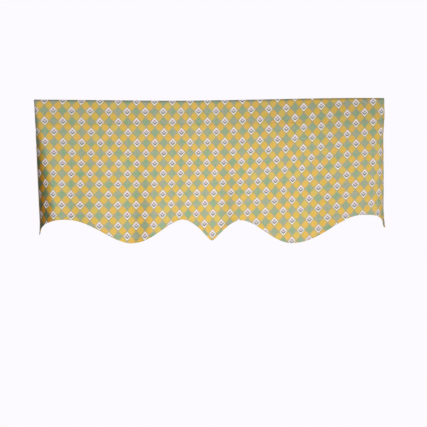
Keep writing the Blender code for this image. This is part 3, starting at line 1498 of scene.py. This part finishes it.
    def _faces(self, column_count: int, row_count: int) -> tuple[list[tuple[int, ...]], list[int]]:
        """Joins the points of both faces and closes the rim.

        Args:
            column_count: How many columns there are.
            row_count: How many points a column has.

        Returns:
            The faces as numbers of points, and the material slot of each.
        """
        number = np.arange(column_count * row_count).reshape(column_count, row_count)
        behind = column_count * row_count
        corners = [number[:-1, :-1], number[:-1, 1:], number[1:, 1:], number[1:, :-1]]
        printed = np.stack([corner.ravel() for corner in corners], axis=1)
        reverse = printed[:, ::-1] + behind
        loop = [number[:, 0], number[-1, 1:], number[-2::-1, -1], number[0, -2:0:-1]]
        rim = np.concatenate(loop)
        after = np.roll(rim, -1)
        edge = np.stack([rim, after, after + behind, rim + behind], axis=1)
        faces = [tuple(face) for face in np.concatenate([printed, reverse, edge]).tolist()]
        kinds = [Face.PRINTED.value] * len(printed) + [Face.REVERSE.value] * len(reverse)
        return faces, kinds + [Face.REVERSE.value] * len(edge)

    def _keep(self, mesh: bpy.types.Mesh, name: str, values: Array) -> None:
        """Keeps a value for each point of the outer face and the same for the inner one."""
        kept = mesh.attributes.new(name, "FLOAT", "POINT")
        kept.data.foreach_set("value", np.tile(values.ravel(), 2).astype(np.float32))

    def _lay_print(self, mesh: bpy.types.Mesh, across: Array, path: Array) -> None:
        """Writes the UV map, in metres on the bolt of cloth, for both faces.

        Args:
            mesh: The panel's mesh.
            across: The place across of each point.
            path: Its place along the cloth, below 0 behind the top edge.
        """
        bolt = self.lay.on_bolt(across, path).reshape(-1, 2)
        both = np.concatenate([bolt, bolt])
        corners = np.empty(len(mesh.loops), dtype=np.int32)
        mesh.loops.foreach_get("vertex_index", corners)
        layer = mesh.uv_layers.new(name=self.UV_NAME)
        layer.data.foreach_set("uv", both[corners].astype(np.float32).ravel())

    def dress(self, piece: bpy.types.Object) -> None:
        """Puts the print on the face and its ghost on the reverse."""
        piece.data.materials.append(Cotton("printed_cotton", shown=1.0).material())
        piece.data.materials.append(Cotton("cotton_reverse", shown=self.reverse_shown).material())

    def seam_line(self, seam: Seam) -> tuple[Array, Array, Array, Array]:
        """Follows one row of stitches.

        Args:
            seam: The row to follow.

        Returns:
            The columns, heights and drops along it, and how far behind the front its far side lies.
        """
        if seam in (Seam.LEFT_EDGE, Seam.RIGHT_EDGE):
            side = Side.LEFT if seam is Seam.LEFT_EDGE else Side.RIGHT
            edge = self.cloth.wall_column(side) - side.value * self.edge_seam
            end = self.cloth.column_drop(np.array([edge]))[0]
            start = self.heading_turning + self.edge_margin
            down = np.arange(start, end - self.hem_turning - self.edge_margin, self.line_step)
            column = np.full_like(down, edge)
            return column, down, np.full_like(down, end), np.full_like(down, self.thickness)
        left = self.cloth.wall_column(Side.LEFT)
        right = self.cloth.wall_column(Side.RIGHT)
        column = np.arange(left + self.line_margin, right - self.line_margin, self.line_step)
        drop = self.cloth.column_drop(column)
        down = drop - self.hem_seam if seam is Seam.HEM else np.full_like(column, self.heading_seam)
        return column, down, drop, np.full_like(column, self._layer_gap())


@dataclass
class Stitches:
    """The lockstitches of the seams, on the front and on the back."""

    panel: SewnPanel
    pitch: float = 0.0034
    length: float = 0.0027
    thread_radius: float = 0.00019
    proud: float = 0.00010
    tip_sink: float = 0.00020
    sides: int = 5
    rings: tuple[tuple[float, float, float], ...] = ((-0.62, 0.75, 0.1), (0.0, 1.0, 1.0), (0.62, 0.75, 0.1))

    def build(self) -> bpy.types.Object:
        """Builds the stitches of all the seams.

        Returns:
            One piece that holds them all.
        """
        points: list[Array] = []
        for seam in Seam:
            points.extend(self._along(seam))
        count = len(points)
        size = len(points[0])
        one = self._faces()
        starts = range(0, count * size, size)
        faces = [tuple(start + corner for corner in face) for start in starts for face in one]
        piece = new_piece("seam_stitches", np.concatenate(points), faces)
        LOG.info("%d stitches", count)
        return piece

    def _along(self, seam: Seam) -> list[Array]:
        """Lays out the stitches of one row, front and back.

        Args:
            seam: The row.

        Returns:
            The points of each stitch.
        """
        column, down, drop, behind = self.panel.seam_line(seam)
        cloth = self.panel.cloth
        raised = self.panel.seam_relief(column, down, drop)
        line = cloth.points(column, down, raised)
        inward = cloth.inward(column, down, raised)
        steps = np.linalg.norm(np.diff(line, axis=0), axis=1)
        length = np.concatenate([[0.0], np.cumsum(steps)])
        middles = np.arange(self.pitch, length[-1] - self.pitch, self.pitch)

        def at(values: Array, place: Array) -> Array:
            """Returns the values, a row for each point of the line, at other places along it."""
            columns = [np.interp(place, length, values[:, axis]) for axis in range(values.shape[1])]
            return np.stack(columns, axis=1)

        half = 0.5 * self.length
        middle = at(line, middles)
        along = at(line, middles + half) - at(line, middles - half)
        into = at(inward, middles)
        depth = np.interp(middles, length, behind)[:, None]
        stitches: list[Array] = []
        for centre, run, lift in ((middle, along, -into), (middle + into * depth, along, into)):
            stitches.extend(self._one(c, r, u) for c, r, u in zip(centre, run, lift))
        return stitches

    def _one(self, centre: Array, run: Array, lift: Array) -> Array:
        """Returns the points of one stitch.

        Args:
            centre: Its middle, on the cloth.
            run: The way from its one end to its other.
            lift: The direction away from the cloth.

        Returns:
            Its two tips and the rings between them.
        """
        aside = np.cross(run, lift)
        aside /= np.linalg.norm(aside)
        turn = np.arange(self.sides) * 2.0 * np.pi / self.sides
        half = 0.5 * run
        sunk = -lift * self.tip_sink
        points = [centre - half + sunk]
        for along, girth, rise in self.rings:
            axis = centre + half * along + lift * self.proud * rise
            radius = self.thread_radius * girth
            points.extend(axis + radius * (aside * math.cos(a) + lift * math.sin(a)) for a in turn)
        points.append(centre + half + sunk)
        return np.array(points)

    def _faces(self) -> list[tuple[int, ...]]:
        """Joins the points of one stitch.

        Returns:
            Its faces, as numbers of points, facing out.
        """
        faces: list[tuple[int, ...]] = []
        last = 1 + self.sides * len(self.rings)
        for side in range(self.sides):
            after = (side + 1) % self.sides
            faces.append((0, 1 + after, 1 + side))
            for ring in range(len(self.rings) - 1):
                start = 1 + ring * self.sides
                onward = start + self.sides
                faces.append((start + side, start + after, onward + after, onward + side))
            start = last - self.sides
            faces.append((last, start + side, start + after))
        return faces

    def dress(self, piece: bpy.types.Object) -> None:
        """Puts the thread's material on the stitches."""
        piece.data.materials.append(SewingThread().material())


@dataclass(frozen=True)
class SoftLight:
    """A square soft light: where it stands, what it looks at, its size, its power and how far it spreads."""

    name: str
    place: tuple[float, float, float]
    target: tuple[float, float, float]
    size: float
    power: float
    spread_deg: float = 180.0


@dataclass
class Studio:
    """The camera, the soft lights, the pale floor and the pale surroundings."""

    camera_place: tuple[float, float, float] = (-0.1939, -2.5657, -0.4921)
    camera_turn_deg: float = 4.420
    camera_tilt_deg: float = 1.815
    camera_roll_deg: float = 0.310
    sensor: float = 36.0
    focal_pixels: float = 714.0
    frame_pixels: float = 427.0
    floor_size: float = 60.0
    floor_level: float = -1.90
    floor_colour: Colour = (0.86, 0.86, 0.87)
    background: Colour = (0.975, 0.955, 0.990)
    ambient: float = 0.20
    ambient_colour: Colour = (1.0, 0.93, 0.82)
    lights: tuple[SoftLight, ...] = (
        SoftLight("key_light", (3.60, -6.20, -1.00), (0.0, 0.0, -0.28), 2.0, 225.0),
        SoftLight("fill_light", (-0.35, -3.20, -1.50), (-0.06, 0.0, -0.46), 0.6, 7.8, spread_deg=65.0),
    )

    def build(self) -> None:
        """Sets up everything round the valance."""
        self._camera()
        self._floor()
        self._surroundings()
        for light in self.lights:
            self._light(light)
        bpy.context.scene.view_settings.view_transform = "Standard"

    def _camera(self) -> None:
        """Stands the camera a little to the left, turned right and up, with its slight roll."""
        turn = math.radians(self.camera_turn_deg)
        tilt = math.radians(self.camera_tilt_deg)
        roll = math.radians(self.camera_roll_deg)
        level_share = math.cos(tilt)
        ahead = Vector((math.sin(turn) * level_share, math.cos(turn) * level_share, math.sin(tilt)))
        level = Vector((math.cos(turn), -math.sin(turn), 0.0))
        up = level.cross(ahead)
        right = math.cos(roll) * level - math.sin(roll) * up
        upright = math.sin(roll) * level + math.cos(roll) * up

        lens = bpy.data.cameras.new("camera")
        lens.sensor_width = self.sensor
        lens.lens = self.sensor * self.focal_pixels / self.frame_pixels
        lens.clip_end = 100.0
        camera = bpy.data.objects.new("camera", lens)
        bpy.context.scene.collection.objects.link(camera)
        turned = Matrix((right, upright, -ahead)).transposed().to_4x4()
        camera.matrix_world = Matrix.Translation(self.camera_place) @ turned
        bpy.context.scene.camera = camera

    def _floor(self) -> None:
        """Lays the pale floor, which is seen as bright as the surroundings so that it has no far edge."""
        bpy.ops.object.select_all(action="DESELECT")
        bpy.ops.mesh.primitive_plane_add(size=self.floor_size, location=(0.0, 0.0, self.floor_level))
        floor = bpy.context.object
        floor.name = "floor"
        material, desk = new_material("pale_floor")
        seen = desk.add("ShaderNodeEmission")
        lit = desk.add("ShaderNodeBsdfDiffuse")
        desk.wire(self.background, seen.inputs["Color"])
        desk.wire(self.floor_colour, lit.inputs["Color"])
        desk.show(self._seen_or_lit(desk, seen, lit))
        floor.data.materials.append(material)

    def _seen_or_lit(self, desk: NodeDesk, seen: bpy.types.Node, lit: bpy.types.Node) -> Socket:
        """Parts what the camera sees from the light that is passed on.

        Args:
            desk: The nodes of the material or world.
            seen: The shader that the camera sees.
            lit: The shader for all other rays.

        Returns:
            The joined shader's socket.
        """
        mix = desk.add("ShaderNodeMixShader")
        rays = desk.add("ShaderNodeLightPath")
        desk.wire(rays.outputs["Is Camera Ray"], mix.inputs[0])
        desk.wire(lit.outputs[0], mix.inputs[1])
        desk.wire(seen.outputs[0], mix.inputs[2])
        return mix.outputs[0]

    def _surroundings(self) -> None:
        """Makes the surroundings near white to look at, and softer as a light."""
        world = bpy.data.worlds.new("surroundings")
        world.use_nodes = True
        bpy.context.scene.world = world
        desk = NodeDesk(world.node_tree)
        seen = desk.add("ShaderNodeBackground")
        lit = desk.add("ShaderNodeBackground")
        desk.wire(self.background, seen.inputs["Color"])
        desk.wire(self.ambient_colour, lit.inputs["Color"])
        lit.inputs["Strength"].default_value = self.ambient
        desk.show(self._seen_or_lit(desk, seen, lit), "ShaderNodeOutputWorld")

    def _light(self, light: SoftLight) -> None:
        """Stands one light in its place and turns it to its target.

        Args:
            light: The light.
        """
        lamp = bpy.data.lights.new(light.name, "AREA")
        lamp.size = light.size
        lamp.energy = light.power
        lamp.spread = math.radians(light.spread_deg)
        stand = bpy.data.objects.new(light.name, lamp)
        bpy.context.scene.collection.objects.link(stand)
        place = Vector(light.place)
        aim = (Vector(light.target) - place).to_track_quat("-Z", "Y")
        stand.matrix_world = Matrix.Translation(place) @ aim.to_matrix().to_4x4()


def cut_sizes(panel: SewnPanel) -> tuple[float, float, float]:
    """Measures the panel as it is cut.

    Args:
        panel: The sewn panel.

    Returns:
        Its width, its longest length with both turnings, and its area.
    """
    column = panel.columns()
    turnings = panel.heading_turning + panel.hem_turning
    length = panel.cloth.column_drop(column) + turnings
    width = float(column[-1] - column[0])
    return width, float(length.max()), float(length.mean()) * width


def main() -> None:
    """Builds the valance and its studio."""
    logging.basicConfig(level=logging.INFO, format="%(name)s: %(message)s")
    panel = SewnPanel(cloth=HungCloth())
    cloth = panel.build()
    panel.dress(cloth)
    LOG.info("panel of %d faces", len(cloth.data.polygons))

    stitches = Stitches(panel)
    thread = stitches.build()
    stitches.dress(thread)

    width, length, area = cut_sizes(panel)
    LOG.info("cut %.3f by %.3f m, %.3f square metres", width, length, area)
    for piece in (cloth, thread):
        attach(piece, "root")
    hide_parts("valance")

    Studio().build()


if __name__ == "__main__":
    main()
